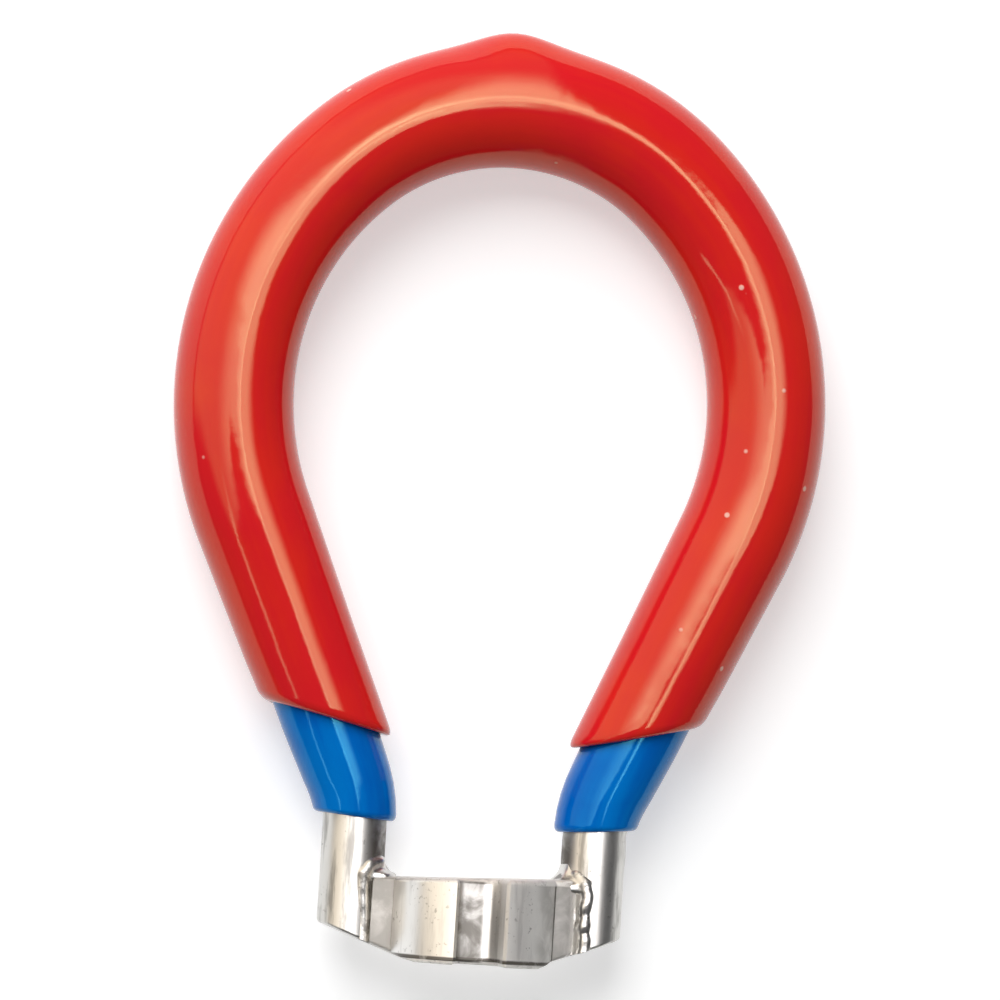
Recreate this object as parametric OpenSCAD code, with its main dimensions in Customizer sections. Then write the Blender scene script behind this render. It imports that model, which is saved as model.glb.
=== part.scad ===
// Spoke wrench: a bent steel rod loop, a machined jaw head held between the
// rod's two ends by welds, and a grip dipped twice, blue first and red over it.
// The wrench lies flat. Y runs from the head to the top of the loop, Z is up,
// and the origin is under the middle of its bounding box. Lengths are in mm.

/* [Handle rod] */
// Diameter of the steel rod
rod_d = 4.76; // [4:0.01:6]
// Centre-line radius of the bend over the top of the loop
top_bend_r = 18.2; // [15:0.1:20]
// Angle the top bend turns on each side, in degrees
top_turn = 42; // [30:1:55]
// Centre-line radius of the longer bends down the sides
side_bend_r = 23.9; // [21:0.1:28]
// Lean of the straight legs off the long axis, in degrees
leg_lean = 23.8; // [18:0.1:28]
// Centre-line radius of the bend between a leg and its arm
arm_bend_r = 10; // [6:0.5:14]
// Spacing of the two arms, centre to centre
arm_spacing = 18; // [16:0.1:22]
// Height of the straight arms above the rim face of the head
arm_h = 9.55; // [8.5:0.05:12]

/* [Jaw head] */
// Height of the head along the long axis
head_h = 6.45; // [5:0.05:8]
// Width of the head across its two necks
neck_w = 15.2; // [14:0.1:16]
// Thickness of the necks
neck_t = 4.76; // [4:0.01:6]
// Radius of the rounded boss that holds the nipple slot
boss_r = 6.05; // [5.5:0.05:6.6]
// Height of the boss centre above the middle plane of the loop
boss_rise = 2; // [1:0.1:3]
// Bevel round the two ends of the boss
boss_bevel = 0.35; // [0.1:0.05:0.6]
// Width of the flat rim face between the two corner slopes
rim_face_w = 9.2; // [7:0.1:11]
// Slope of the ground corners, in degrees
corner_slope = 20; // [12:1:28]

/* [Nipple slot] */
// Width of the slot between its two walls
slot_w = 3.45; // [3.2:0.01:4]
// Depth of the slot from the crown of the boss to its rounded bottom
slot_depth = 4.6; // [3.8:0.05:5.5]
// Bevel on the two edges of the slot mouth
slot_bevel = 0.3; // [0.1:0.05:0.5]

/* [Welds] */
// Radius of the weld bead along each joint
bead_r = 1.15; // [0.9:0.05:1.4]
// Distance of the bead's centre from the arm's centre line, across the head
bead_shift = 0.45; // [0.2:0.05:0.8]
// Height of the bead's centre above the middle plane
bead_rise = 1.95; // [1.6:0.05:2.2]
// Radius the weld collar adds round the arm at the top of the head
collar_leg = 0.9; // [0.5:0.05:1.2]
// Height of the weld collar
collar_h = 1.2; // [0.8:0.1:1.8]
// Radius left at the top of the collar
collar_tip = 0.2; // [0.1:0.05:0.4]

/* [Blue undercoat] */
// Outer radius of the blue coat round the arm bends
blue_low_r = 3.1; // [2.8:0.05:3.3]
// Outer radius of the blue coat where the red coat covers it
blue_high_r = 3.4; // [3.2:0.05:3.8]
// Height of the blue coat's lower edge above the rim face
blue_edge_h = 10.35; // [9.8:0.05:12]
// Slope of the blue coat's lower edge, in degrees
blue_edge_slope = 4.2; // [0:0.1:10]

/* [Red overcoat] */
// Outer radius of the red coat round the loop
red_r = 4.5; // [4.1:0.05:5]
// Outer radius of the red coat near its lower edge
red_low_r = 4.15; // [3.8:0.05:4.4]
// Height of the red coat's lower edge above the rim face
red_edge_h = 17.5; // [16:0.1:20]
// Slope of the red coat's lower edge, in degrees
red_edge_slope = 12.7; // [5:0.1:20]
// Radius of the drip left at the top of the loop, seen along the loop
drip_r = 2.9; // [2.3:0.1:3.4]
// How far the drip stands out of the loop
drip_proud = 1; // [0.5:0.1:1.5]

/* [Hidden] */

section_fn = 40;
bend_fn = 60;
round_fn = 64;

rod_r = rod_d / 2;
half_spacing = arm_spacing / 2;
// Sideways reach of each piece of the centre line
side_turn = 90 - top_turn + leg_lean;
top_reach = top_bend_r * sin(top_turn);
side_reach = side_bend_r * (cos(leg_lean) - sin(top_turn));
arm_reach = arm_bend_r * (1 - cos(leg_lean));
leg_len = (top_reach + side_reach - half_spacing - arm_reach)
        / sin(leg_lean);
// Heights of the joints between the pieces, above the rim face
leg_low_h = arm_h + arm_bend_r * sin(leg_lean);
leg_top_h = leg_low_h + leg_len * cos(leg_lean);
side_centre_h = leg_top_h + side_bend_r * sin(leg_lean);
top_centre_h = side_centre_h
             - (top_bend_r - side_bend_r) * cos(top_turn);
apex_h = top_centre_h + top_bend_r;
side_centre_x = (top_bend_r - side_bend_r) * sin(top_turn);
tool_len = apex_h + red_r + drip_proud;

// Distance along a leg at which the red coat's lower edge crosses it
edge_run = (red_edge_h - leg_low_h) / cos(leg_lean);
boss_front = boss_rise + boss_r;
slot_round_z = boss_front - slot_depth + slot_w / 2;
mouth_z = boss_rise + sqrt(pow(boss_r, 2) - pow(slot_w / 2, 2));
// Bend radius of the drip as a share of its own radius, and its half turn
drip_bend_share = 1.07;
drip_turn = 45;

// One overrun serves every cut
over = 2;
// How far a bend runs into its neighbours, and how much thinner it is
lap = 0.3;
hair = 0.02;
cut_half = half_spacing + 2 * side_bend_r;

// Moves a piece from the head's own axes to the stored frame
module placed() {
    translate([0, -tool_len / 2, red_r]) children();
}

// Draws what is given on both sides of the long axis
module both_sides() {
    children();
    mirror([1, 0, 0]) children();
}

// A round bar along +Y from the height given
module bar_y(h, low_r, high_r) {
    rotate([-90, 0, 0]) cylinder(h = h, r1 = low_r, r2 = high_r,
                                 $fn = section_fn);
}

// Part of a ring round Z, as a tube of radius r, from angle 0
module ring_part(bend_r, turn, r) {
    rotate_extrude(angle = turn, $fn = bend_fn)
        translate([bend_r, 0]) circle(r = r, $fn = section_fn);
}

// A ring part that is a hair thinner and runs a little into both neighbours,
// so that each joint is a clean step
module lapped_part(bend_r, turn, r) {
    lap_turn = lap / bend_r * 180 / PI;
    rotate([0, 0, -lap_turn])
        ring_part(bend_r, turn + 2 * lap_turn, r - hair);
}

// The top bend and the two side bends, as a tube of radius r
module loop_bends(r) {
    translate([0, top_centre_h, 0]) rotate([0, 0, 90 - top_turn])
        ring_part(top_bend_r, 2 * top_turn, r);
    both_sides()
        translate([side_centre_x, side_centre_h, 0])
            rotate([0, 0, -leg_lean]) lapped_part(side_bend_r, side_turn, r);
}

// Places its children at a leg's lower end, with +Y along the leg
module on_leg() {
    translate([half_spacing + arm_reach, leg_low_h, 0])
        rotate([0, 0, -leg_lean]) children();
}

// The bend from an arm to its leg, as a tube of radius r
module arm_bend(r) {
    translate([half_spacing + arm_bend_r, arm_h, 0])
        rotate([0, 0, 180 - leg_lean]) lapped_part(arm_bend_r, leg_lean, r);
}

// One straight arm, down to the level of the rim face
module bar_at_arm() {
    translate([half_spacing, 0, 0]) bar_y(arm_h, rod_r, rod_r);
}

// The whole rod before its ends are ground
module rod_form() {
    loop_bends(rod_r);
    both_sides() {
        on_leg() bar_y(leg_len, rod_r, rod_r);
        arm_bend(rod_r);
        bar_at_arm();
    }
}

// Everything above the rim face and its two ground corners
module above_corners(h) {
    slope_x = rim_face_w / 2;
    far_y = (cut_half - slope_x) * tan(corner_slope);
    translate([0, 0, -cut_half])
        linear_extrude(height = 2 * cut_half)
            polygon([[-cut_half, h + far_y], [-cut_half, far_y],
                     [-slope_x, 0], [slope_x, 0], [cut_half, far_y],
                     [cut_half, h + far_y]]);
}

// The outer form of the blue coat
module blue_form() {
    loop_bends(blue_high_r);
    both_sides() {
        on_leg() rotate([-90, 0, 0])
            rotate_extrude($fn = section_fn)
                polygon([[0, 0], [blue_low_r, 0], [blue_high_r, edge_run],
                         [blue_high_r, leg_len], [0, leg_len]]);
        arm_bend(blue_low_r);
    }
}

// The outer form of the red coat, with the drip as a short bent bar
module red_form() {
    drip_bend_r = drip_r * drip_bend_share;
    loop_bends(red_r);
    both_sides() on_leg() bar_y(leg_len, red_low_r, red_r);
    translate([0, tool_len - drip_bend_r - drip_r, 0])
        rotate([0, 0, 90 - drip_turn])
            ring_part(drip_bend_r, 2 * drip_turn, drip_r);
}

// What lies below a coat's edge: sloped so the inner side is the lower one
module below_edge(edge_x, edge_h, slope) {
    both_sides()
        translate([edge_x, edge_h, 0]) rotate([0, 0, slope])
            translate([-cut_half, -2 * cut_half, -cut_half])
                cube([2 * cut_half, 2 * cut_half, 2 * cut_half]);
}

module handle_rod() {
    color("silver") intersection() {
        rod_form();
        above_corners(tool_len);
    }
}

// The boss, bevelled at both ends
module boss() {
    flat_r = boss_r - boss_bevel;
    translate([0, 0, boss_rise]) rotate([-90, 0, 0]) {
        cylinder(h = boss_bevel, r1 = flat_r, r2 = boss_r, $fn = round_fn);
        translate([0, 0, boss_bevel])
            cylinder(h = head_h - 2 * boss_bevel, r = boss_r,
                     $fn = round_fn);
        translate([0, 0, head_h - boss_bevel])
            cylinder(h = boss_bevel, r1 = boss_r, r2 = flat_r,
                     $fn = round_fn);
    }
}

// The block before the slot and the two saddles are cut
module head_blank() {
    intersection() {
        union() {
            translate([-neck_w / 2, 0, -neck_t / 2])
                cube([neck_w, head_h, neck_t]);
            boss();
        }
        translate([-cut_half, 0, -neck_t / 2])
            cube([2 * cut_half, head_h, boss_front + neck_t]);
        above_corners(head_h);
    }
}

// The slot, open along Y and to the front: a round bottom as wide as the
// slot, two flat walls and a bevelled mouth
module slot_cut() {
    half_w = slot_w / 2;
    wide = half_w + slot_bevel;
    translate([0, -over, 0]) {
        translate([0, 0, slot_round_z]) rotate([-90, 0, 0])
            cylinder(h = head_h + 2 * over, r = half_w, $fn = round_fn);
        rotate([90, 0, 0]) mirror([0, 0, 1])
            linear_extrude(height = head_h + 2 * over)
                polygon([[-half_w, slot_round_z], [half_w, slot_round_z],
                         [half_w, mouth_z - slot_bevel], [wide, mouth_z],
                         [wide, boss_front + over],
                         [-wide, boss_front + over], [-wide, mouth_z],
                         [-half_w, mouth_z - slot_bevel]]);
    }
}

module jaw_head() {
    color("gainsboro") difference() {
        head_blank();
        slot_cut();
        both_sides() bar_at_arm();
    }
}

// One weld: a bead down the front and the back of the joint, and a collar
// over the top of the head that joins them
module weld() {
    bead_len = head_h + collar_h / 2;
    tip_h = collar_h / 2;
    difference() {
        intersection() {
            union() {
                for (z = [-bead_rise, bead_rise])
                    translate([half_spacing - bead_shift, 0, z]) {
                        bar_y(bead_len - tip_h, bead_r, bead_r);
                        translate([0, bead_len - tip_h, 0])
                            bar_y(tip_h, bead_r, bead_r / 2);
                    }
                translate([half_spacing, head_h, 0])
                    bar_y(collar_h, rod_r + collar_leg,
                          rod_r + collar_tip);
            }
            above_corners(head_h + collar_h);
            translate([0, 0, -cut_half])
                cube([half_spacing, head_h + collar_h, 2 * cut_half]);
        }
        bar_at_arm();
        head_blank();
    }
}

module weld_left() {
    color("darkgray") mirror([1, 0, 0]) weld();
}

module weld_right() {
    color("darkgray") weld();
}

module blue_undercoat() {
    color("royalblue") difference() {
        blue_form();
        rod_form();
        below_edge(half_spacing, blue_edge_h, blue_edge_slope);
    }
}

module red_overcoat() {
    edge_x = half_spacing + arm_reach + edge_run * sin(leg_lean);
    color("crimson") difference() {
        red_form();
        blue_form();
        below_edge(edge_x, red_edge_h, red_edge_slope);
    }
}

placed() handle_rod();
placed() jaw_head();
placed() weld_left();
placed() weld_right();
placed() blue_undercoat();
placed() red_overcoat();
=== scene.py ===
import math

import bmesh
import bpy
from mathutils import Matrix, Vector, noise


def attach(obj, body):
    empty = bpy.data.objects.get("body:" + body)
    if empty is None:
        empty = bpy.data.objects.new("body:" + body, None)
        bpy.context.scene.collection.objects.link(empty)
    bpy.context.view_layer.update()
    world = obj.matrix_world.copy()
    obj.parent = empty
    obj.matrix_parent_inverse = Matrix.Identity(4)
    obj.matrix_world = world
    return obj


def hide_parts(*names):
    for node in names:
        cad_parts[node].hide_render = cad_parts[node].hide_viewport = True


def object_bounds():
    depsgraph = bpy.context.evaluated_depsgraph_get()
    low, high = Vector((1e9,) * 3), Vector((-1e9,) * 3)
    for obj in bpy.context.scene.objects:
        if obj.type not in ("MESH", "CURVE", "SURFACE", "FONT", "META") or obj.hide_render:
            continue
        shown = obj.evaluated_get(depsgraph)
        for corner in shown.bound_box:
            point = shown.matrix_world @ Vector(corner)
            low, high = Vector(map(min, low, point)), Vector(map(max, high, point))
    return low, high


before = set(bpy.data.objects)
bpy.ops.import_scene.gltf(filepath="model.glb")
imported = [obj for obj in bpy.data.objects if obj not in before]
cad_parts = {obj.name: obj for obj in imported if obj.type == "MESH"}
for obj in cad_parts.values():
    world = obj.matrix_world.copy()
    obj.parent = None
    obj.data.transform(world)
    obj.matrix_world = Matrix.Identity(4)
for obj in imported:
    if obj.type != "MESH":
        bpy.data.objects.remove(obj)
cad_low, cad_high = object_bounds()


# Handle rod: one length of 4.76 mm steel rod, bent cold into a loop that ends
# in two short parallel arms. Its tips are ground off at a slope together with
# the head, and the whole rod is nickel plated.
ROD_R = 2.38
ARM_X = 9.0
ARM_H = 9.55
ARM_BEND_R = 10.0
LEG_LEAN = math.radians(23.8)
SIDE_BEND_R = 23.9
TOP_BEND_R = 18.2
TOP_TURN = math.radians(42)
SIDE_TURN = math.pi / 2 - TOP_TURN + LEG_LEAN
LEG_LEN = ((TOP_BEND_R * math.sin(TOP_TURN)
            + SIDE_BEND_R * (math.cos(LEG_LEAN) - math.sin(TOP_TURN))
            - ARM_X - ARM_BEND_R * (1 - math.cos(LEG_LEAN)))
           / math.sin(LEG_LEAN))
COAT_R = 4.5
TIP_SLOPE = math.tan(math.radians(20))
RIM_FACE_HALF = 4.6
# Sizes are in millimetres above the rim face and off the loop's middle plane.
SEATED = (Matrix.Scale(0.001, 4)
          @ Matrix.Translation((0, cad_low.y * 1000, COAT_R)))

# Each move along the centre line is a length and a bend, plus to the left.
MOVES = [(ARM_H, 0),
         (ARM_BEND_R * LEG_LEAN, -1 / ARM_BEND_R),
         (LEG_LEN, 0),
         (SIDE_BEND_R * SIDE_TURN, 1 / SIDE_BEND_R),
         (TOP_BEND_R * 2 * TOP_TURN, 1 / TOP_BEND_R),
         (SIDE_BEND_R * SIDE_TURN, 1 / SIDE_BEND_R),
         (LEG_LEN, 0),
         (ARM_BEND_R * LEG_LEAN, -1 / ARM_BEND_R),
         (ARM_H, 0)]
ROD_RUN = sum(length for length, _ in MOVES)


def on_centre_line(run):
    """Point and heading of the rod's centre line, from the right tip on."""
    x, y, heading = ARM_X, 0.0, math.pi / 2
    for length, bend in MOVES:
        step = min(run, length)
        if bend:
            turned = heading + step * bend
            x += (math.sin(turned) - math.sin(heading)) / bend
            y += (math.cos(heading) - math.cos(turned)) / bend
            heading = turned
        else:
            x += step * math.cos(heading)
            y += step * math.sin(heading)
        run -= step
        if run <= 0:
            break
    return x, y, heading


def from_tip(run):
    """Run measured from the nearer of the rod's two tips, and which tip that
    is: 1 for the right one and -1 for the left one."""
    return min(run, ROD_RUN - run), 1 if run < ROD_RUN / 2 else -1


def ring_place(run, across, deep, slant=0.0):
    """Run, and the matrix that sets a unit circle on the rod there, slanted
    or square to it."""
    x, y, heading = on_centre_line(run)
    along = Vector((math.cos(heading), math.sin(heading), 0))
    out = Vector((math.sin(heading), -math.cos(heading), 0))
    place = Matrix.Identity(4)
    place.col[0] = (*(out + along * slant) * across, 0)
    place.col[1] = (0, 0, -deep, 0)
    place.col[2] = (*along, 0)
    place.col[3] = (x, y, 0, 1)
    return run, place


def draw_out(rings, around):
    """Extrudes a ring through the rings and returns the mesh and its ends.
    Each vertex keeps where it would lie if the rod were straight."""
    bm = bmesh.new()
    straight = bm.verts.layers.float_vector.new("straight")
    place = rings[0][1]
    verts = bmesh.ops.create_circle(bm, radius=1, segments=around,
                                    matrix=place)["verts"]
    first = edges = bm.edges[:]
    for run, after in [rings[0]] + rings[1:]:
        if after is not place:
            grown = bmesh.ops.extrude_edge_only(bm, edges=edges)["geom"]
            verts = {g for g in grown if isinstance(g, bmesh.types.BMVert)}
            edges = [g for g in grown if isinstance(g, bmesh.types.BMEdge)
                     and g.verts[0] in verts and g.verts[1] in verts]
            bmesh.ops.transform(bm, matrix=after @ place.inverted(),
                                verts=list(verts))
            place = after
        out = place.col[0].to_3d().normalized()
        centre = place.col[3].to_3d()
        for vert in verts:
            vert[straight] = (0.001 * (vert.co - centre).dot(out),
                              0.001 * vert.co.z, 0.001 * run)
    return bm, first, edges


def make_piece(bm, name, material, node):
    """Seats a finished mesh in the frame and hangs it on the wrench."""
    bmesh.ops.recalc_face_normals(bm, faces=bm.faces)
    bmesh.ops.transform(bm, matrix=SEATED, verts=bm.verts)
    for face in bm.faces:
        face.smooth = True
    piece = link_mesh(bm, name)
    piece.data.materials.append(material)
    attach(piece, "root")
    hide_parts(node)
    return piece


def link_mesh(bm, name):
    """Turns a bmesh into an object of the scene."""
    mesh = bpy.data.meshes.new(name)
    bm.to_mesh(mesh)
    bm.free()
    piece = bpy.data.objects.new(name, mesh)
    bpy.context.scene.collection.objects.link(piece)
    return piece


def new_group(name, inputs, outputs):
    """Empty shader group with named inputs and outputs, and its two ends."""
    group = bpy.data.node_groups.new(name, "ShaderNodeTree")
    for label, kind, value in inputs:
        group.interface.new_socket(label, in_out="INPUT",
                                   socket_type=kind).default_value = value
    for label, kind in outputs:
        group.interface.new_socket(label, in_out="OUTPUT", socket_type=kind)
    return (group, group.nodes.new("NodeGroupInput").outputs,
            group.nodes.new("NodeGroupOutput").inputs)


def add_node(tree, kind, settings=(), **wires):
    """Adds a node, with its settings and what each input is wired or set to.
    An input goes by its label, or by the letter i and its number."""
    node = tree.nodes.new("ShaderNode" + kind)
    for key, value in dict(settings).items():
        setattr(node, key, value)
    for label, value in wires.items():
        at = int(label[1:]) if label[1:].isdigit() else label.replace("_", " ")
        if isinstance(value, bpy.types.NodeSocket):
            tree.links.new(value, node.inputs[at])
        else:
            node.inputs[at].default_value = value
    return node


def mix_colour(tree, factor, first, second, blend="MIX"):
    """Colour that goes from the first to the second with the factor."""
    return add_node(tree, "Mix", {"data_type": "RGBA", "blend_type": blend},
                    i0=factor, i6=first, i7=second).outputs[2]


def graded(tree, value, low, high, to_low=0.0, to_high=1.0):
    """A value spread smoothly from one range to another."""
    return add_node(tree, "MapRange", {"interpolation_type": "SMOOTHSTEP"},
                    i0=value, i1=low, i2=high, i3=to_low,
                    i4=to_high).outputs[0]


def reckon(tree, operation, *values, clamp=False):
    """One step of arithmetic on values of a node tree."""
    wires = {f"i{at}": value for at, value in enumerate(values)}
    return add_node(tree, "Math", {"operation": operation, "use_clamp": clamp},
                    **wires).outputs[0]


def all_of(tree, *masks):
    """Where every mask is white."""
    joined = masks[0]
    for mask in masks[1:]:
        joined = reckon(tree, "MULTIPLY", joined, mask)
    return joined


def any_of(tree, *masks):
    """As white as the whitest of the masks."""
    joined = masks[0]
    for mask in masks[1:]:
        joined = reckon(tree, "MAXIMUM", joined, mask)
    return joined


def cloudy(tree, at, scale, detail=3.0, rough=0.55, warp=0.0):
    """Soft noise from 0 to 1 on the coordinates given."""
    return add_node(tree, "TexNoise", i0=at, Scale=scale, Detail=detail,
                    Roughness=rough, Distortion=warp).outputs["Fac"]


def object_place(tree):
    """Where a point of the piece lies, in metres."""
    return add_node(tree, "TexCoord").outputs["Object"]


def object_axes(tree):
    """The same place as three values, X, Y and Z."""
    return add_node(tree, "SeparateXYZ", i0=object_place(tree)).outputs


def patch(tree, axes, *fades):
    """A mask that is white where all its fades are. Each one names an axis,
    the metres it runs between, and its values there if not 0 and 1."""
    return all_of(tree, *(graded(tree, axes[axis], *limits)
                          for axis, *limits in fades))


def straightened(tree, stretch):
    """Coordinates along and round the rod as if it were straight."""
    lay = add_node(tree, "Attribute", {"attribute_name": "straight"})
    return stretched(tree, lay.outputs["Vector"], stretch)


def stretched(tree, at, stretch):
    """Coordinates scaled axis by axis, so that noise on them has a grain."""
    return add_node(tree, "VectorMath", {"operation": "MULTIPLY"},
                    i0=at, i1=stretch).outputs[0]


def new_material(name):
    """Material with its node tree and the inputs of its shader."""
    material = bpy.data.materials.new(name)
    material.use_nodes = True
    tree = material.node_tree
    return material, tree, tree.nodes["Principled BSDF"].inputs


def feed_shader(tree, shader, look, bump, depth):
    """Wires a finish's colour, roughness and height into the shader."""
    tree.links.new(look.outputs["Color"], shader["Base Color"])
    tree.links.new(look.outputs["Roughness"], shader["Roughness"])
    relief = add_node(tree, "Bump", Strength=bump, Distance=depth,
                      Height=look.outputs["Height"])
    tree.links.new(relief.outputs["Normal"], shader["Normal"])


NICKEL = (0.66, 0.65, 0.62, 1)
# The tarnish colour also serves as the painted shade on the head.
TARNISH_AND_SHADE = (0.155, 0.145, 0.13, 1)
ROD_GRAIN = (1, 1, 0.12)
STEEL_RELIEF = 0.00002


def plating_group():
    """Nickel plating over steel that is drawn, ground or welded: streaks
    along the grain, tarnish in clouds, fine pits, and, where asked, soot and
    painted shade."""
    group, given, out = new_group(
        "nickel plating",
        [("Grain", "NodeSocketVector", (0, 0, 0)),
         ("Bright", "NodeSocketColor", NICKEL),
         ("Stain", "NodeSocketFloat", 0.0),
         ("Soot", "NodeSocketFloat", 0.0),
         ("Dull", "NodeSocketFloat", 0.0)],
        [("Color", "NodeSocketColor"), ("Roughness", "NodeSocketFloat"),
         ("Height", "NodeSocketFloat")])
    place = object_place(group)
    streaks = cloudy(group, given["Grain"], 1500, 4, 0.6)
    clouds = cloudy(group, place, 500, 4, 0.6, 0.5)
    pits = cloudy(group, place, 3400, 2, 0.5)
    stained = all_of(group, graded(group, streaks, 0.52, 0.30), given["Stain"])
    pitted = all_of(group, graded(group, pits, 0.42, 0.30, 0, 0.45),
                    graded(group, clouds, 0.48, 0.62))
    # Soot darkens towards the tarnish colour in clouds. On the head this darkening is
    # painted shade.
    sooted_and_shaded = reckon(group, "MULTIPLY", given["Soot"],
                    graded(group, clouds, 0.30, 0.60, 0.60, 1.15), clamp=True)
    worn_and_shaded = any_of(group, stained, sooted_and_shaded, pitted)
    group.links.new(mix_colour(group, worn_and_shaded, given["Bright"], TARNISH_AND_SHADE),
                    out["Color"])
    satin = reckon(group, "MULTIPLY_ADD", streaks, 0.10, given["Dull"])
    group.links.new(reckon(group, "MULTIPLY_ADD", worn_and_shaded, 0.2, satin),
                    out["Roughness"])
    drawn = reckon(group, "MULTIPLY_ADD", pitted, -0.7, streaks)
    group.links.new(reckon(group, "MULTIPLY_ADD", sooted_and_shaded, pits, drawn),
                    out["Height"])
    return group


PLATING = plating_group()


def steel_material(name, stain, dull, bump, soot, grain=None, bright=NICKEL):
    """Plated steel. Its grain follows the straightened rod, or stretches the
    piece's own coordinates. Functions lay on the soot, which on the head is
    painted shade, and may lay on dull."""
    material, tree, shader = new_material(name)
    shader["Metallic"].default_value = 1
    look = add_node(tree, "Group", {"node_tree": PLATING},
                    Grain=(stretched(tree, object_place(tree), grain) if grain
                           else straightened(tree, ROD_GRAIN)),
                    Bright=bright, Stain=stain, Soot=soot(tree),
                    Dull=dull(tree) if callable(dull) else dull)
    feed_shader(tree, shader, look, bump, STEEL_RELIEF)
    return material


def rod_soot(tree):
    """Heat and soot on the arms' inner sides, just above the joints."""
    return patch(tree, object_axes(tree), ("X", -0.0084, -0.0075),
                 ("X", 0.0076, 0.0069), ("Y", -0.0240, -0.0262, 0.5, 0.9),
                 ("Y", -0.0330, -0.0315))


rod_plating = steel_material("drawn rod, nickel plated", 0.58, 0.29, 0.6,
                             rod_soot)

TIP_RUN = (ARM_X - RIM_FACE_HALF) * TIP_SLOPE
TIP_BEVEL = 0.16
# Rings at a ground tip: how far behind it each lies, and how much it shrinks.
TIP_RINGS = [(0, TIP_BEVEL), (0.35 * TIP_BEVEL, 0.35 * TIP_BEVEL),
             (TIP_BEVEL, 0), (TIP_BEVEL + 0.08, 0), (0.8, 0)]
BODY_START = TIP_RUN + 2
BODY_STEPS = 150
SLANT_FADE = 6
ROD_AROUND = 64
near_tip, far_tip = ([ring_place(tip + side * behind, ROD_R - less,
                                 ROD_R - less, side * TIP_SLOPE)
                      for behind, less in TIP_RINGS]
                     for tip, side in ((TIP_RUN, 1), (ROD_RUN - TIP_RUN, -1)))
body = []
for i in range(BODY_STEPS + 1):
    run = BODY_START + (ROD_RUN - 2 * BODY_START) * i / BODY_STEPS
    behind, side = from_tip(run)
    ease = max(0, 1 - behind / SLANT_FADE)
    body.append(ring_place(run, ROD_R, ROD_R, side * TIP_SLOPE * ease))
bm, near_end, far_end = draw_out(near_tip + body + far_tip[::-1], ROD_AROUND)
bmesh.ops.contextual_create(bm, geom=near_end)
bmesh.ops.contextual_create(bm, geom=far_end)

SWAGE_H = 8.9
SWAGE_LEN = 0.45
SWAGE_OUT = 0.14
for vert in bm.verts:
    # A swage mark bulges the right arm's outer side just under the coat.
    if vert.co.x > ARM_X + 1 and vert.co.y < SWAGE_H + 5 * SWAGE_LEN:
        mark = math.exp(-((vert.co.y - SWAGE_H) / SWAGE_LEN) ** 2)
        vert.co.x += SWAGE_OUT * mark * (vert.co.x - ARM_X) / ROD_R
make_piece(bm, "bent_rod", rod_plating, "handle_rod")


# Jaw head: a block milled from bar, held between the arms. A half-round boss
# carries the nipple slot up its front, and thin necks reach to both arms. The
# rim face and its two corners are ground, then the block is plated.
HEAD_H = 6.45
NECK_HALF_W = 7.6
NECK_HALF_T = 2.38
BOSS_R = 6.05
BOSS_Z = 2.0
SLOT_HALF = 1.725
SLOT_MOUTH = 1.96
SLOT_MOUTH_DROP = 0.24
SLOT_CORNER_R = 0.9
SLOT_CORNER_Z = 4.35
UNDERCUT_W = 7.0
HEAD_GRAIN = (1, 0.12, 1)
HEAD_NICKEL = (0.82, 0.81, 0.785, 1)
HEAD_DULL = 0.26
saddle_z = math.sqrt(ROD_R ** 2 - (ARM_X - NECK_HALF_W) ** 2)
mouth_z = BOSS_Z + math.sqrt(BOSS_R ** 2 - SLOT_MOUTH ** 2)
foot_x = math.sqrt(BOSS_R ** 2 - (NECK_HALF_T - BOSS_Z) ** 2)


def head_painted_shade(tree):
    """Painted shade as dark, pitted metal on the front of the head: in half of the
    nipple slot, on the right flank of the boss and its foot, on the necks, and
    as a dark line along the rim."""
    axes = object_axes(tree)
    front = ("Z", 0.0066, 0.0068)
    slot = patch(tree, axes, ("X", -0.00190, -0.00172), ("X", 0.0009, 0.0004),
                 ("Z", 0.0120, 0.0110, 0, 0.8), ("Z", 0.0077, 0.0079))
    flank = patch(tree, axes, ("X", 0.0036, 0.0050, 0, 0.45),
                  ("X", 0.00606, 0.00604), front)
    foot = patch(tree, axes, ("X", 0.00565, 0.00588, 0, 1.1),
                 ("X", 0.00612, 0.00604), front)
    neck = patch(tree, axes, ("Z", 0.00705, 0.00695, 0, 0.42), front)
    rim = patch(tree, axes, ("Y", -0.03425, -0.03442, 0, 1.1),
                ("Y", -0.03465, -0.03455), front)
    between_ends = patch(tree, axes, ("Y", -0.02865, -0.02885),
                         ("Y", -0.03475, -0.03465))
    return all_of(tree, any_of(tree, slot, flank, foot, neck, rim),
                  between_ends)


def head_dull(tree):
    """The eased edges at both ends were dressed by hand and stay matt, and so
    do the necks and the right flank, which the torch reached."""
    axes = object_axes(tree)
    return any_of(tree, *(graded(tree, axes[axis], low, high, HEAD_DULL, matt)
                          for axis, low, high, matt in (
                              ("Y", -0.02900, -0.02880, 0.70),
                              ("Y", -0.03450, -0.03458, 0.70),
                              ("Z", 0.00705, 0.00695, 0.58),
                              ("X", 0.0011, 0.0017, 0.55))))


# The head's soot input carries painted shade on its slot, boss flank and foot, necks and
# rim line.
head_plating = steel_material("milled head, nickel plated", 0.20, head_dull,
                              0.25, head_painted_shade, HEAD_GRAIN, HEAD_NICKEL)

bm = bmesh.new()
pen = bm.verts.new((0, 0, -NECK_HALF_T))


def line_to(pen, x, z):
    """Draws the outline on to a point and returns its new end."""
    end = bmesh.ops.extrude_vert_indiv(bm, verts=[pen])["verts"][0]
    end.co = (x, 0, z)
    return end


def arc_about(pen, x, z, turn, steps):
    """Draws the outline on round a centre and returns its new end."""
    last = bmesh.ops.spin(bm, geom=[pen], cent=(x, 0, z), axis=(0, -1, 0),
                          angle=turn, steps=steps)["geom_last"]
    return [g for g in last if isinstance(g, bmesh.types.BMVert)][0]


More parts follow.
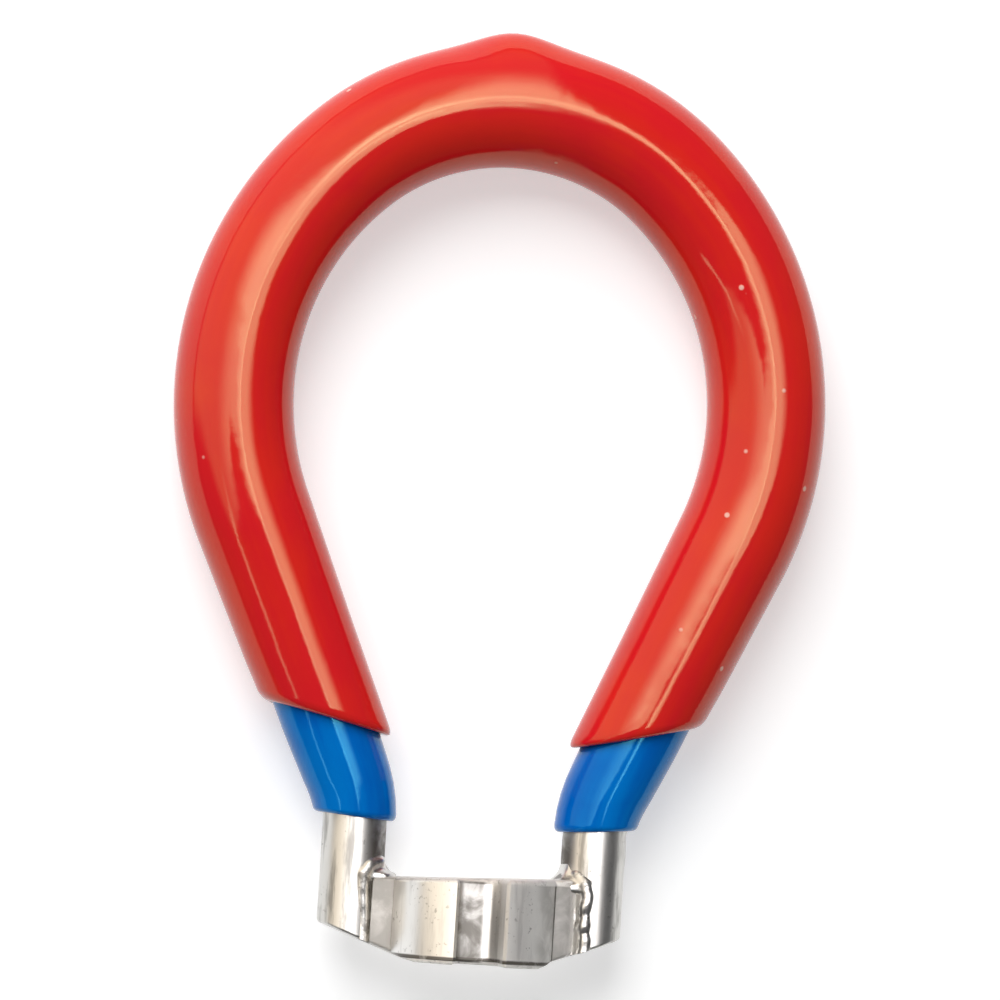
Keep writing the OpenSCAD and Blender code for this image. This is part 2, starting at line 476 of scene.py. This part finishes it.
pen = line_to(pen, NECK_HALF_W, -NECK_HALF_T)
pen = line_to(pen, NECK_HALF_W, -saddle_z)
saddle_turn = 2 * math.atan2(saddle_z, ARM_X - NECK_HALF_W)
pen = arc_about(pen, ARM_X, 0, -saddle_turn, 14)
pen = line_to(pen, NECK_HALF_W, NECK_HALF_T)
pen = line_to(pen, foot_x, NECK_HALF_T)
boss_turn = (math.atan2(mouth_z - BOSS_Z, SLOT_MOUTH)
             - math.atan2(NECK_HALF_T - BOSS_Z, foot_x))
pen = arc_about(pen, 0, BOSS_Z, boss_turn, 34)
pen = line_to(pen, SLOT_HALF, mouth_z - SLOT_MOUTH_DROP)
pen = line_to(pen, SLOT_HALF, SLOT_CORNER_Z)
pen = arc_about(pen, SLOT_HALF - SLOT_CORNER_R, SLOT_CORNER_Z, -math.pi / 2, 8)
pen = line_to(pen, 0, SLOT_CORNER_Z - SLOT_CORNER_R)
bmesh.ops.mirror(bm, geom=bm.verts[:] + bm.edges[:], axis="X",
                 merge_dist=0.001)
bmesh.ops.remove_doubles(bm, verts=bm.verts, dist=0.001)
for vert in bm.verts:
    if vert.co.x > NECK_HALF_W - 0.1 and vert.co.z > NECK_HALF_T - 0.18:
        # The right weld undercut the corner of the neck.
        vert.co.x = UNDERCUT_W

# The outline is walked round from its lowest corner, so that the block comes
# out the same in every run.
pen = min(bm.verts, key=lambda v: (round(v.co.z, 3), -v.co.x))
outline = [pen]
while len(outline) < len(bm.verts):
    near = sorted((e.other_vert(pen) for e in pen.link_edges),
                  key=lambda v: -v.co.x)
    pen = [v for v in near if v not in outline][0]
    outline.append(pen)
profile = bm.faces.new(outline)
grown = bmesh.ops.extrude_face_region(bm, geom=[profile])["geom"]
top = [g for g in grown if isinstance(g, bmesh.types.BMVert)]
bmesh.ops.translate(bm, vec=(0, HEAD_H, 0), verts=top)


def grind_corner(bm, side):
    """Grinds the rim end off at a slope on one side, and closes the cut."""
    bmesh.ops.bisect_plane(
        bm, geom=bm.verts[:] + bm.edges[:] + bm.faces[:], dist=0.0001,
        plane_co=(side * RIM_FACE_HALF, 0, 0),
        plane_no=(side * TIP_SLOPE, -1, 0), clear_outer=True)
    bmesh.ops.holes_fill(bm, edges=[e for e in bm.edges if e.is_boundary],
                         sides=0)


grind_corner(bm, 1)
grind_corner(bm, -1)
bmesh.ops.recalc_face_normals(bm, faces=bm.faces)

# Eased edges: each step's width on the end face, and how far it falls away.
EASE_STEPS = ((0.11, 0.30), (0.15, 0.10))
TOP_TILT = 0.043
TOP_DROP = 0.10
SHARP_ANGLE = 0.6


def ease_end(bm, facing):
    """Rounds the edge all round the end that faces 1 up or -1 down."""
    bm.normal_update()
    faces = [f for f in bm.faces if f.normal.y * facing > 0.9]
    for width, drop in EASE_STEPS:
        band = bmesh.ops.inset_region(bm, faces=faces, thickness=width,
                                      depth=0, use_boundary=True,
                                      use_even_offset=True)["faces"]
        kept = {v for f in faces for v in f.verts}
        for vert in {v for f in band for v in f.verts} - kept:
            vert.co.y -= drop * facing


ease_end(bm, 1)
for vert in bm.verts:
    if vert.co.y > HEAD_H - 0.5:
        # The top was dressed by hand and lies a little out of square.
        vert.co.y += TOP_TILT * vert.co.x - TOP_DROP
ease_end(bm, -1)
for vert in bm.verts:
    # The rim face is ground flat last of all.
    vert.co.y = max(0, vert.co.y)
for edge in bm.edges:
    edge.smooth = edge.calc_face_angle(0) < SHARP_ANGLE
head = make_piece(bm, "slotted_head", head_plating, "jaw_head")
evened = head.modifiers.new("even shading", "WEIGHTED_NORMAL")
evened.keep_sharp = True


# Two welds: the head is brazed between the arms. The left joint is smooth and
# curls over the top of the neck, the right one is an uneven double bead, and a
# small bead runs down the back of each. Both are plated over with the rest.
WELD_GRAIN = (1, 1, 1)
BLOBS = 120
BEAD_TAPER = 0.65
SHAKE_SCALE = 1.7
SHAKE_SIZE = 1.1
SHAKE_AWAY = 0.45
COLLAR_HALF_TURN = 88
COLLAR_STEPS = 32
COLLAR_CURVE = 8
COLLAR_WAVE = 0.12
COLLAR_INSET = 0.12
COLLAR_LEAST = 0.3
COLLAR_FOOT = -0.7
COLLAR_IN = -0.5
COLLAR_SINK = -0.10
SKIN_CELL = 0.10
SMOOTHINGS = 7


def weld_soot(tree):
    """Soot that gathers low in the grooves of a weld."""
    return graded(tree, cloudy(tree, object_place(tree), 1300, 3), 0.50, 0.38,
                  0.0, 0.7)


weld_plating = steel_material("brazed joint, nickel plated", 0.20, 0.24, 0.25,
                              weld_soot, WELD_GRAIN)


def lay_bead(bm, route, radius, wander, seed):
    """Blobs run along a route, shaken off it, and taper in its last fifth."""
    for i in range(BLOBS):
        share = i / (BLOBS - 1) * (len(route) - 1)
        leg = min(int(share), len(route) - 2)
        at = Vector(route[leg]).lerp(Vector(route[leg + 1]), share - leg)
        shake = noise.noise_vector(at * SHAKE_SCALE + Vector((seed, 0, 0)))
        size = radius * (1 + wander * SHAKE_SIZE * shake.z)
        size *= 1 - BEAD_TAPER * max(0, i / BLOBS * 5 - 4)
        at += Vector((shake.x, 0, shake.y)) * wander * SHAKE_AWAY
        bmesh.ops.create_icosphere(bm, subdivisions=2, radius=size,
                                   matrix=Matrix.Translation(at))


def lay_collar(bm, reach, height, seed):
    """A hollow fillet from the top of the neck up to the arm. It narrows to
    nothing where the neck's front and back faces end."""
    loops = []
    for i in range(COLLAR_STEPS + 1):
        turn = math.radians(COLLAR_HALF_TURN * (2 * i / COLLAR_STEPS - 1))
        wave = 1 + COLLAR_WAVE * noise.noise(Vector((seed, 2.5 * turn, 0)))
        to_face = ((NECK_HALF_T - COLLAR_INSET) / max(0.1, abs(math.sin(turn)))
                   - ROD_R)
        leg = min(reach * wave, to_face)
        rise = height * (COLLAR_LEAST
                         + (1 - COLLAR_LEAST) * max(0, leg) / reach)
        profile = [(COLLAR_IN, COLLAR_FOOT), (leg, COLLAR_FOOT)]
        for j in range(COLLAR_CURVE + 1):
            bend = math.pi / 2 * j / COLLAR_CURVE
            profile.append((leg * (1 - math.sin(bend)),
                            COLLAR_SINK + rise * (1 - math.cos(bend))))
        profile.append((COLLAR_IN, rise))
        ring = [bm.verts.new((ARM_X - (ROD_R + out) * math.cos(turn),
                              HEAD_H + up, (ROD_R + out) * math.sin(turn)))
                for out, up in profile]
        loops.append([bm.edges.new(pair)
                      for pair in zip(ring, ring[1:] + ring[:1])])
    for before, after in zip(loops, loops[1:]):
        bmesh.ops.bridge_loops(bm, edges=before + after)
    for loop in (loops[0], loops[-1]):
        bmesh.ops.contextual_create(bm, geom=loop)


def drop_specks(bm):
    """Keeps only the body that the topmost point belongs to. The skin can
    close round a pinhole inside the weld as well."""
    kept, reached = set(), [max(bm.verts, key=lambda v: v.co.y)]
    while reached:
        vert = reached.pop()
        if vert not in kept:
            kept.add(vert)
            reached += [edge.other_vert(vert) for edge in vert.link_edges]
    bmesh.ops.delete(bm, geom=[v for v in bm.verts if v not in kept],
                     context="VERTS")


def build_weld(name, node, side, beads, reach, height, seed):
    """Beads and collar laid on the right joint, skinned over as one, smoothed,
    ground with the rim, and turned over where they are for the left one."""
    bm = bmesh.new()
    for route, radius, wander in beads:
        lay_bead(bm, route, radius, wander, seed)
    lay_collar(bm, reach, height, seed)
    blobs = link_mesh(bm, name + " blobs")
    skin = blobs.modifiers.new("skin", "REMESH")
    skin.mode = "VOXEL"
    skin.voxel_size = SKIN_CELL
    bpy.context.view_layer.update()
    shown = blobs.evaluated_get(bpy.context.evaluated_depsgraph_get())
    bm = bmesh.new()
    bm.from_mesh(shown.to_mesh())
    bpy.data.objects.remove(blobs)
    drop_specks(bm)
    bmesh.ops.recalc_face_normals(bm, faces=bm.faces)
    for _ in range(SMOOTHINGS):
        bmesh.ops.smooth_vert(bm, verts=bm.verts, factor=0.5, use_axis_x=True,
                              use_axis_y=True, use_axis_z=True)
    grind_corner(bm, 1)
    if side < 0:
        bmesh.ops.scale(bm, vec=(-1, 1, 1), verts=bm.verts)
    return make_piece(bm, name, weld_plating, node)


# A bead is its route, its radius and how far it wanders. The seed is set so
# that the beads wander the same way in every run.
noise.seed_set(1)
build_weld("left_weld", "weld_left", -1,
           [([(8.10, 0, 1.72), (8.15, 3, 1.74), (8.35, 5.0, 1.90),
              (8.35, 6.2, 2.0), (7.9, 6.9, 1.8), (7.2, 7.1, 1.35),
              (6.85, 7.0, 0.4)], 0.62, 0.02),
            ([(8.2, 0, -1.95), (8.15, 6.2, -1.95)], 0.72, 0.10)],
           0.95, 1.3, 3.0)
build_weld("right_weld", "weld_right", 1,
           [([(8.3, 0, 1.95), (8.45, 2.0, 2.0), (8.35, 4.2, 2.0),
              (8.5, 5.5, 2.0), (8.3, 6.4, 1.9), (7.75, 7.1, 1.55),
              (6.9, 7.2, 0.4)], 0.58, 0.20),
            ([(7.5, 0, 1.45), (7.45, 6.0, 1.45)], 0.50, 0.15),
            ([(8.2, 0, -1.95), (8.15, 6.2, -1.95)], 0.72, 0.15)],
           1.75, 1.6, 8.0)


# Blue undercoat: the first dip, a gloss vinyl that covers the loop and the
# legs and stops just above the head. Only its two cuffs stay in sight, each
# thinning towards a soft rounded lip.
def run_at_height(height):
    """How far along the right side the centre line reaches a height."""
    low, high = 0.0, ARM_H + ARM_BEND_R * LEG_LEAN + LEG_LEN
    for _ in range(40):
        middle = (low + high) / 2
        if on_centre_line(middle)[1] < height:
            low = middle
        else:
            high = middle
    return low


BLUE_EDGE = run_at_height(10.35)
RED_EDGE = run_at_height(17.5)
BLUE_SLANT = math.tan(math.radians(4.2) + math.pi / 2
                      - on_centre_line(BLUE_EDGE)[2])
BLUE_LIP_R = 3.06
BLUE_SWELL = 0.34
ON_ROD = 0.005
LIP_STEPS = 8
INNER_BACK = 0.03


def blue_radius(run):
    """The cuff thickens up the leg, and stays even under the red."""
    share = (from_tip(run)[0] - BLUE_EDGE) / (RED_EDGE - BLUE_EDGE)
    return BLUE_LIP_R + BLUE_SWELL * min(1, max(0, share)) ** 0.8


def coat_mesh(edge, slope, fade, outer, inner, lip_high, lip_len, around,
              steps):
    """Shell of one dip: over the loop, round the left lip, back and closed."""
    def slant(run):
        """Full at the coat's edge, and none higher up the leg."""
        behind, side = from_tip(run)
        share = max(0, 1 - (behind - edge) / fade)
        return side * slope * share * share * (3 - 2 * share)

    def outer_place(run, drop=0.0):
        across, deep = outer(run)
        return ring_place(run, across - drop, deep - drop, slant(run))

    start = edge + lip_len
    over = [outer_place(start + (ROD_RUN - 2 * start) * i / steps)
            for i in range(steps + 1)]
    near_lip, far_lip = [], []
    for i in range(1, LIP_STEPS + 1):
        share = i / LIP_STEPS
        drop = lip_high * (1 - math.sqrt(max(0, 1 - share * share)))
        back = lip_len * (1 - share)
        far_lip.append(outer_place(ROD_RUN - edge - back, drop))
        near_lip.append(outer_place(edge + back, drop))
    under = []
    start = edge + INNER_BACK
    for i in range(steps // 3 + 1):
        run = ROD_RUN - start - (ROD_RUN - 2 * start) * i / (steps // 3)
        under.append(ring_place(run, inner(run), inner(run), slant(run)))
    bm, first, last = draw_out(over + far_lip + under + near_lip[::-1], around)
    bmesh.ops.bridge_loops(bm, edges=first + last)
    return bm


VINYL_IOR = 1.47
VINYL_GRAIN = (1, 1, 0.06)
VINYL_BUMP = 0.35
VINYL_RELIEF = 0.0001


def vinyl_group():
    """Dipped vinyl: colour that pools deeper in clouds, a skin that wanders
    a little in gloss, soft ripples, and a few specks of dust."""
    group, given, out = new_group(
        "dipped vinyl",
        [("Colour", "NodeSocketColor", (1, 1, 1, 1)),
         ("Deep", "NodeSocketColor", (1, 1, 1, 1)),
         ("Pale", "NodeSocketColor", (1, 1, 1, 1)),
         ("Specks", "NodeSocketFloat", 1.0),
         ("Lay", "NodeSocketVector", (0, 0, 0))],
        [("Color", "NodeSocketColor"), ("Roughness", "NodeSocketFloat"),
         ("Height", "NodeSocketFloat")])
    place = object_place(group)
    clouds = cloudy(group, place, 120, 3, 0.5, 0.4)
    fine = cloudy(group, place, 1600, 3, 0.5)
    ripples = cloudy(group, place, 230, 2, 0.45)
    runs = cloudy(group, given["Lay"], 620, 3, 0.55)
    combed = cloudy(group, given["Lay"], 2600, 2, 0.5)
    dust = add_node(group, "TexVoronoi", Scale=330, i0=place).outputs
    cell = add_node(group, "SeparateColor", i0=dust["Color"]).outputs[0]
    speck = all_of(group, graded(group, cell, 0.40, 0.43),
                   graded(group, dust["Distance"], 0.085, 0.04),
                   given["Specks"])
    drained = reckon(group, "MULTIPLY_ADD", clouds, 0.6,
                     reckon(group, "MULTIPLY", runs, 0.5))
    pooled = mix_colour(group, graded(group, drained, 0.42, 0.66),
                        given["Colour"], given["Deep"])
    group.links.new(mix_colour(group, speck, pooled, given["Pale"]),
                    out["Color"])
    gloss = graded(group, clouds, 0.3, 0.7, 0.05, 0.10)
    group.links.new(reckon(group, "MULTIPLY_ADD", speck, 0.3, gloss),
                    out["Roughness"])
    skin = ripples
    for relief, height in ((fine, 0.08), (runs, 0.20), (combed, 0.045),
                           (speck, 0.25)):
        skin = reckon(group, "MULTIPLY_ADD", relief, height, skin)
    group.links.new(skin, out["Height"])
    return group


VINYL = vinyl_group()


def vinyl_material(name, colour, deep, pale, specks, sheen):
    """Gloss vinyl in one colour, straight from the dipping tank."""
    material, tree, shader = new_material(name)
    shader["IOR"].default_value = VINYL_IOR
    shader["Specular Tint"].default_value = sheen
    look = add_node(tree, "Group", {"node_tree": VINYL}, Colour=colour,
                    Deep=deep, Pale=pale, Specks=specks,
                    Lay=straightened(tree, VINYL_GRAIN))
    feed_shader(tree, shader, look, VINYL_BUMP, VINYL_RELIEF)
    return material


blue_vinyl = vinyl_material(
    "blue vinyl, first dip", colour=(0.0, 0.195, 0.66, 1),
    deep=(0.0, 0.130, 0.56, 1), pale=(0.45, 0.7, 0.9, 1), specks=0.6,
    sheen=(0.2, 0.9, 1, 1))
bm = coat_mesh(BLUE_EDGE, BLUE_SLANT, fade=5,
               outer=lambda run: (blue_radius(run), blue_radius(run)),
               inner=lambda run: ROD_R + ON_ROD,
               lip_high=0.34, lip_len=0.45, around=64, steps=160)
make_piece(bm, "blue_first_dip", blue_vinyl, "blue_undercoat")


# Red overcoat: the second dip, thicker and softer, over the whole loop down
# to two slanted lips. It hung from its legs to drain, so it is fullest at the
# top, where the last drop set as a small peak.
RED_SLANT = math.tan(math.radians(12.7 + 23.8))
RED_LIP_R = 4.15
RED_SWELL = 0.33
RED_SWELL_LEN = 16
RED_TOP_SWELL = 0.19
RED_TOP_LEN = 14
ON_BLUE = 0.01


def red_radius(run):
    """Fuller at the top of the loop, thinner down the legs, and a hair inside
    the wrench's own box."""
    share = min(1, max(0, (from_tip(run)[0] - RED_EDGE) / RED_SWELL_LEN))
    low = RED_LIP_R + RED_SWELL * share
    top = math.exp(-((run - ROD_RUN / 2) / RED_TOP_LEN) ** 2)
    return low + RED_TOP_SWELL * top - 0.004, min(COAT_R - 0.01, low + 0.02)


red_vinyl = vinyl_material(
    "red vinyl, second dip", colour=(0.80, 0.020, 0.014, 1),
    deep=(0.77, 0.011, 0.019, 1), pale=(0.95, 0.5, 0.42, 1), specks=1.0,
    sheen=(0.78, 1, 0.54, 1))
bm = coat_mesh(RED_EDGE, RED_SLANT, fade=7, outer=red_radius,
               inner=lambda run: blue_radius(run) + ON_BLUE,
               lip_high=0.42, lip_len=0.9, around=96, steps=220)

TOP_H = (cad_high.y - cad_low.y) * 1000
PEAK_FROM = TOP_H - COAT_R + 1.6
PEAK_RISE = 2.0
PEAK_X = -0.8
PEAK_HALF_W = 3.3
PEAK_HALF_T = 3.6
PEAK_H = 0.835
for vert in bm.verts:
    # The drip swells the top of the outer skin, a little left of the middle.
    up = (vert.co.y - PEAK_FROM) / PEAK_RISE
    if up > 0:
        up = min(1, up)
        peak = (math.exp(-((vert.co.x - PEAK_X) / PEAK_HALF_W) ** 2)
                * math.exp(-(vert.co.z / PEAK_HALF_T) ** 2))
        vert.co.y += PEAK_H * peak * up * up * (3 - 2 * up)
make_piece(bm, "red_second_dip", red_vinyl, "red_overcoat")


# Table and light: a plain white table that the wrench lies flat on, and a
# soft panel over it. Gloss and metal mirror a warm card with a bright window
# on the left, a strip overhead and a lamp head on the right.
TABLE_WHITE = 0.75
TABLE_GLOW = 0.50
TABLE_HALF = 2.5
table_paint, tree, shader = new_material("white table")
shader["Base Color"].default_value = (TABLE_WHITE, TABLE_WHITE, TABLE_WHITE, 1)
shader["Roughness"].default_value = 0.9
shader["Specular IOR Level"].default_value = 0.1
shader["Emission Color"].default_value = (1, 1, 1, 1)
path = add_node(tree, "LightPath").outputs
seen = any_of(tree, path["Is Camera Ray"], path["Is Glossy Ray"],
              path["Is Transmission Ray"])
tree.links.new(reckon(tree, "MULTIPLY", seen, TABLE_GLOW),
               shader["Emission Strength"])
bm = bmesh.new()
bmesh.ops.create_grid(bm, x_segments=4, y_segments=4, size=TABLE_HALF)
table = link_mesh(bm, "table")
table.data.materials.append(table_paint)

world = bpy.data.worlds.new("white cards")
bpy.context.scene.world = world
world.use_nodes = True
tree = world.node_tree
sky = tree.nodes["Background"].inputs
direction = add_node(tree, "SeparateXYZ", i0=add_node(
    tree, "TexCoord").outputs["Generated"]).outputs
x, y, z = direction["X"], direction["Y"], direction["Z"]


def plus(value, times, rest):
    """A value of the sky, taken so many times, on top of the rest."""
    return reckon(tree, "MULTIPLY_ADD", value, times, rest)


def fade(value, *limits):
    """A soft edge in the sky, between two values of a direction."""
    return graded(tree, value, *limits)


# The card hangs on the left above the table, and the window in it brightens
# towards the middle.
above = fade(z, 0.0, 0.1)
hung = all_of(tree, any_of(tree, fade(plus(x, -0.8, y), 0.19, 0.25),
                           fade(y, 0.02, 0.055)),
              fade(plus(y, -0.06, x), 0.155, 0.135), above)
card = all_of(tree, hung, fade(plus(x, 1, y), -1.10, -0.93),
              fade(y, 0.96, 0.70, 0.35, 1))
window = all_of(tree, hung, fade(x, -0.65, -0.10),
                fade(plus(x, 0.3, y), 0.07, 0.10, 0.5, 1),
                fade(plus(x, 0.41, y), 0.30, 0.16))
# The strip runs overhead. The lamp head stands on the right, and its tail
# hangs below. The card's edge catches light at the lower left.
strip = all_of(tree, hung, fade(x, -0.05, 0.08), fade(y, 0.12, 0.16),
               fade(y, 0.88, 0.35))
head_lamp = all_of(tree, fade(x, 0.12, 0.14), fade(x, 0.56, 0.30),
                   fade(plus(x, -0.48, y), -0.20, -0.15),
                   fade(plus(x, -1, y), -0.02, -0.06), fade(y, 0.30, 0.25),
                   above)
tail = all_of(tree, fade(x, 0.08, 0.10), fade(x, 0.19, 0.16),
              fade(y, -0.22, -0.04), fade(y, 0.06, 0.02))
edge_line = plus(y, -0.28, x)
card_edge = all_of(tree, fade(edge_line, -0.615, -0.595),
                   fade(edge_line, -0.56, -0.58), fade(y, -0.50, -0.46),
                   fade(y, -0.10, -0.30))

FAINT = 0.10
WHITE_TINT = (1, 1, 1.05, 1)
WARM_TINT = (1, 0.87, 0.70, 1)
FILL = (0.24, 0.24, 0.24, 1)
white = FAINT
for area, strength in ((window, 7.0), (strip, 6.2), (head_lamp, 4.6),
                       (tail, 3.0), (card_edge, 3.5)):
    white = plus(area, strength, white)
warm = plus(head_lamp, 1.2, plus(card, 1.4, 0.0))
warm = mix_colour(tree, 1, warm, WARM_TINT, "MULTIPLY")
white = mix_colour(tree, 1, white, WHITE_TINT, "MULTIPLY")
mirrored = mix_colour(tree, 1, warm, white, "ADD")
path = add_node(tree, "LightPath").outputs
lit = mix_colour(tree, path["Is Glossy Ray"], FILL, mirrored)
lit = mix_colour(tree, path["Is Camera Ray"], lit, (1, 1, 1, 1))
tree.links.new(lit, sky["Color"])
sky["Strength"].default_value = 1

# The panel hangs between two directions seen from the wrench and faces it. It
# isn't mirrored, because the sky already holds what is.
PANEL_FAR = 0.8
PANEL_WIDTH = 0.6
PANEL_RADIANCE = 5.4
near_edge = Vector((-0.32, 0.25, 0.90)).normalized() * PANEL_FAR
far_edge = Vector((-0.18, 0.85, 0.45)).normalized() * PANEL_FAR
middle = (near_edge + far_edge) / 2
across = (far_edge - near_edge).cross(middle).normalized()
along = middle.cross(across).normalized()
lamp = bpy.data.lights.new("key_panel", "AREA")
lamp.shape = "RECTANGLE"
lamp.size = PANEL_WIDTH * PANEL_FAR
lamp.size_y = (far_edge - near_edge).length
lamp.energy = PANEL_RADIANCE * math.pi * lamp.size * lamp.size_y
place = Matrix.Identity(4)
place.col[0] = (*across, 0)
place.col[1] = (*along, 0)
place.col[2] = (*middle.normalized(), 0)
place.col[3] = (*middle, 1)
key = bpy.data.objects.new("key_panel", lamp)
key.matrix_world = place
key.visible_glossy = False
bpy.context.scene.collection.objects.link(key)


# Camera: a long lens above the table, a little to the left and towards the
# head, rolled so that the loop leans clockwise in the picture.
AIM = Vector((0, 0.00012, 0.0045))
AWAY = 0.4
FRAME_W = 0.0748
SENSOR_W = 36
AZIMUTH, ELEVATION, ROLL = (math.radians(a) for a in (-7, -3.5, 3.6))
back = Vector((math.sin(AZIMUTH) * math.cos(ELEVATION), math.sin(ELEVATION),
               math.cos(AZIMUTH) * math.cos(ELEVATION)))
right = Vector((0, 1, 0)).cross(back).normalized()
up = back.cross(right)
lens = bpy.data.cameras.new("camera")
lens.sensor_width = SENSOR_W
lens.lens = SENSOR_W * AWAY / FRAME_W
lens.shift_x = 0.0041
lens.shift_y = -0.0054
lens.clip_start = 0.01
camera = bpy.data.objects.new("camera", lens)
turned = Matrix.Identity(4)
turned.col[0] = (*(right * math.cos(ROLL) + up * math.sin(ROLL)), 0)
turned.col[1] = (*(up * math.cos(ROLL) - right * math.sin(ROLL)), 0)
turned.col[2] = (*back, 0)
turned.col[3] = (*(AIM + back * AWAY), 1)
camera.matrix_world = turned
bpy.context.scene.collection.objects.link(camera)
bpy.context.scene.camera = camera
bpy.context.scene.view_settings.view_transform = "Standard"
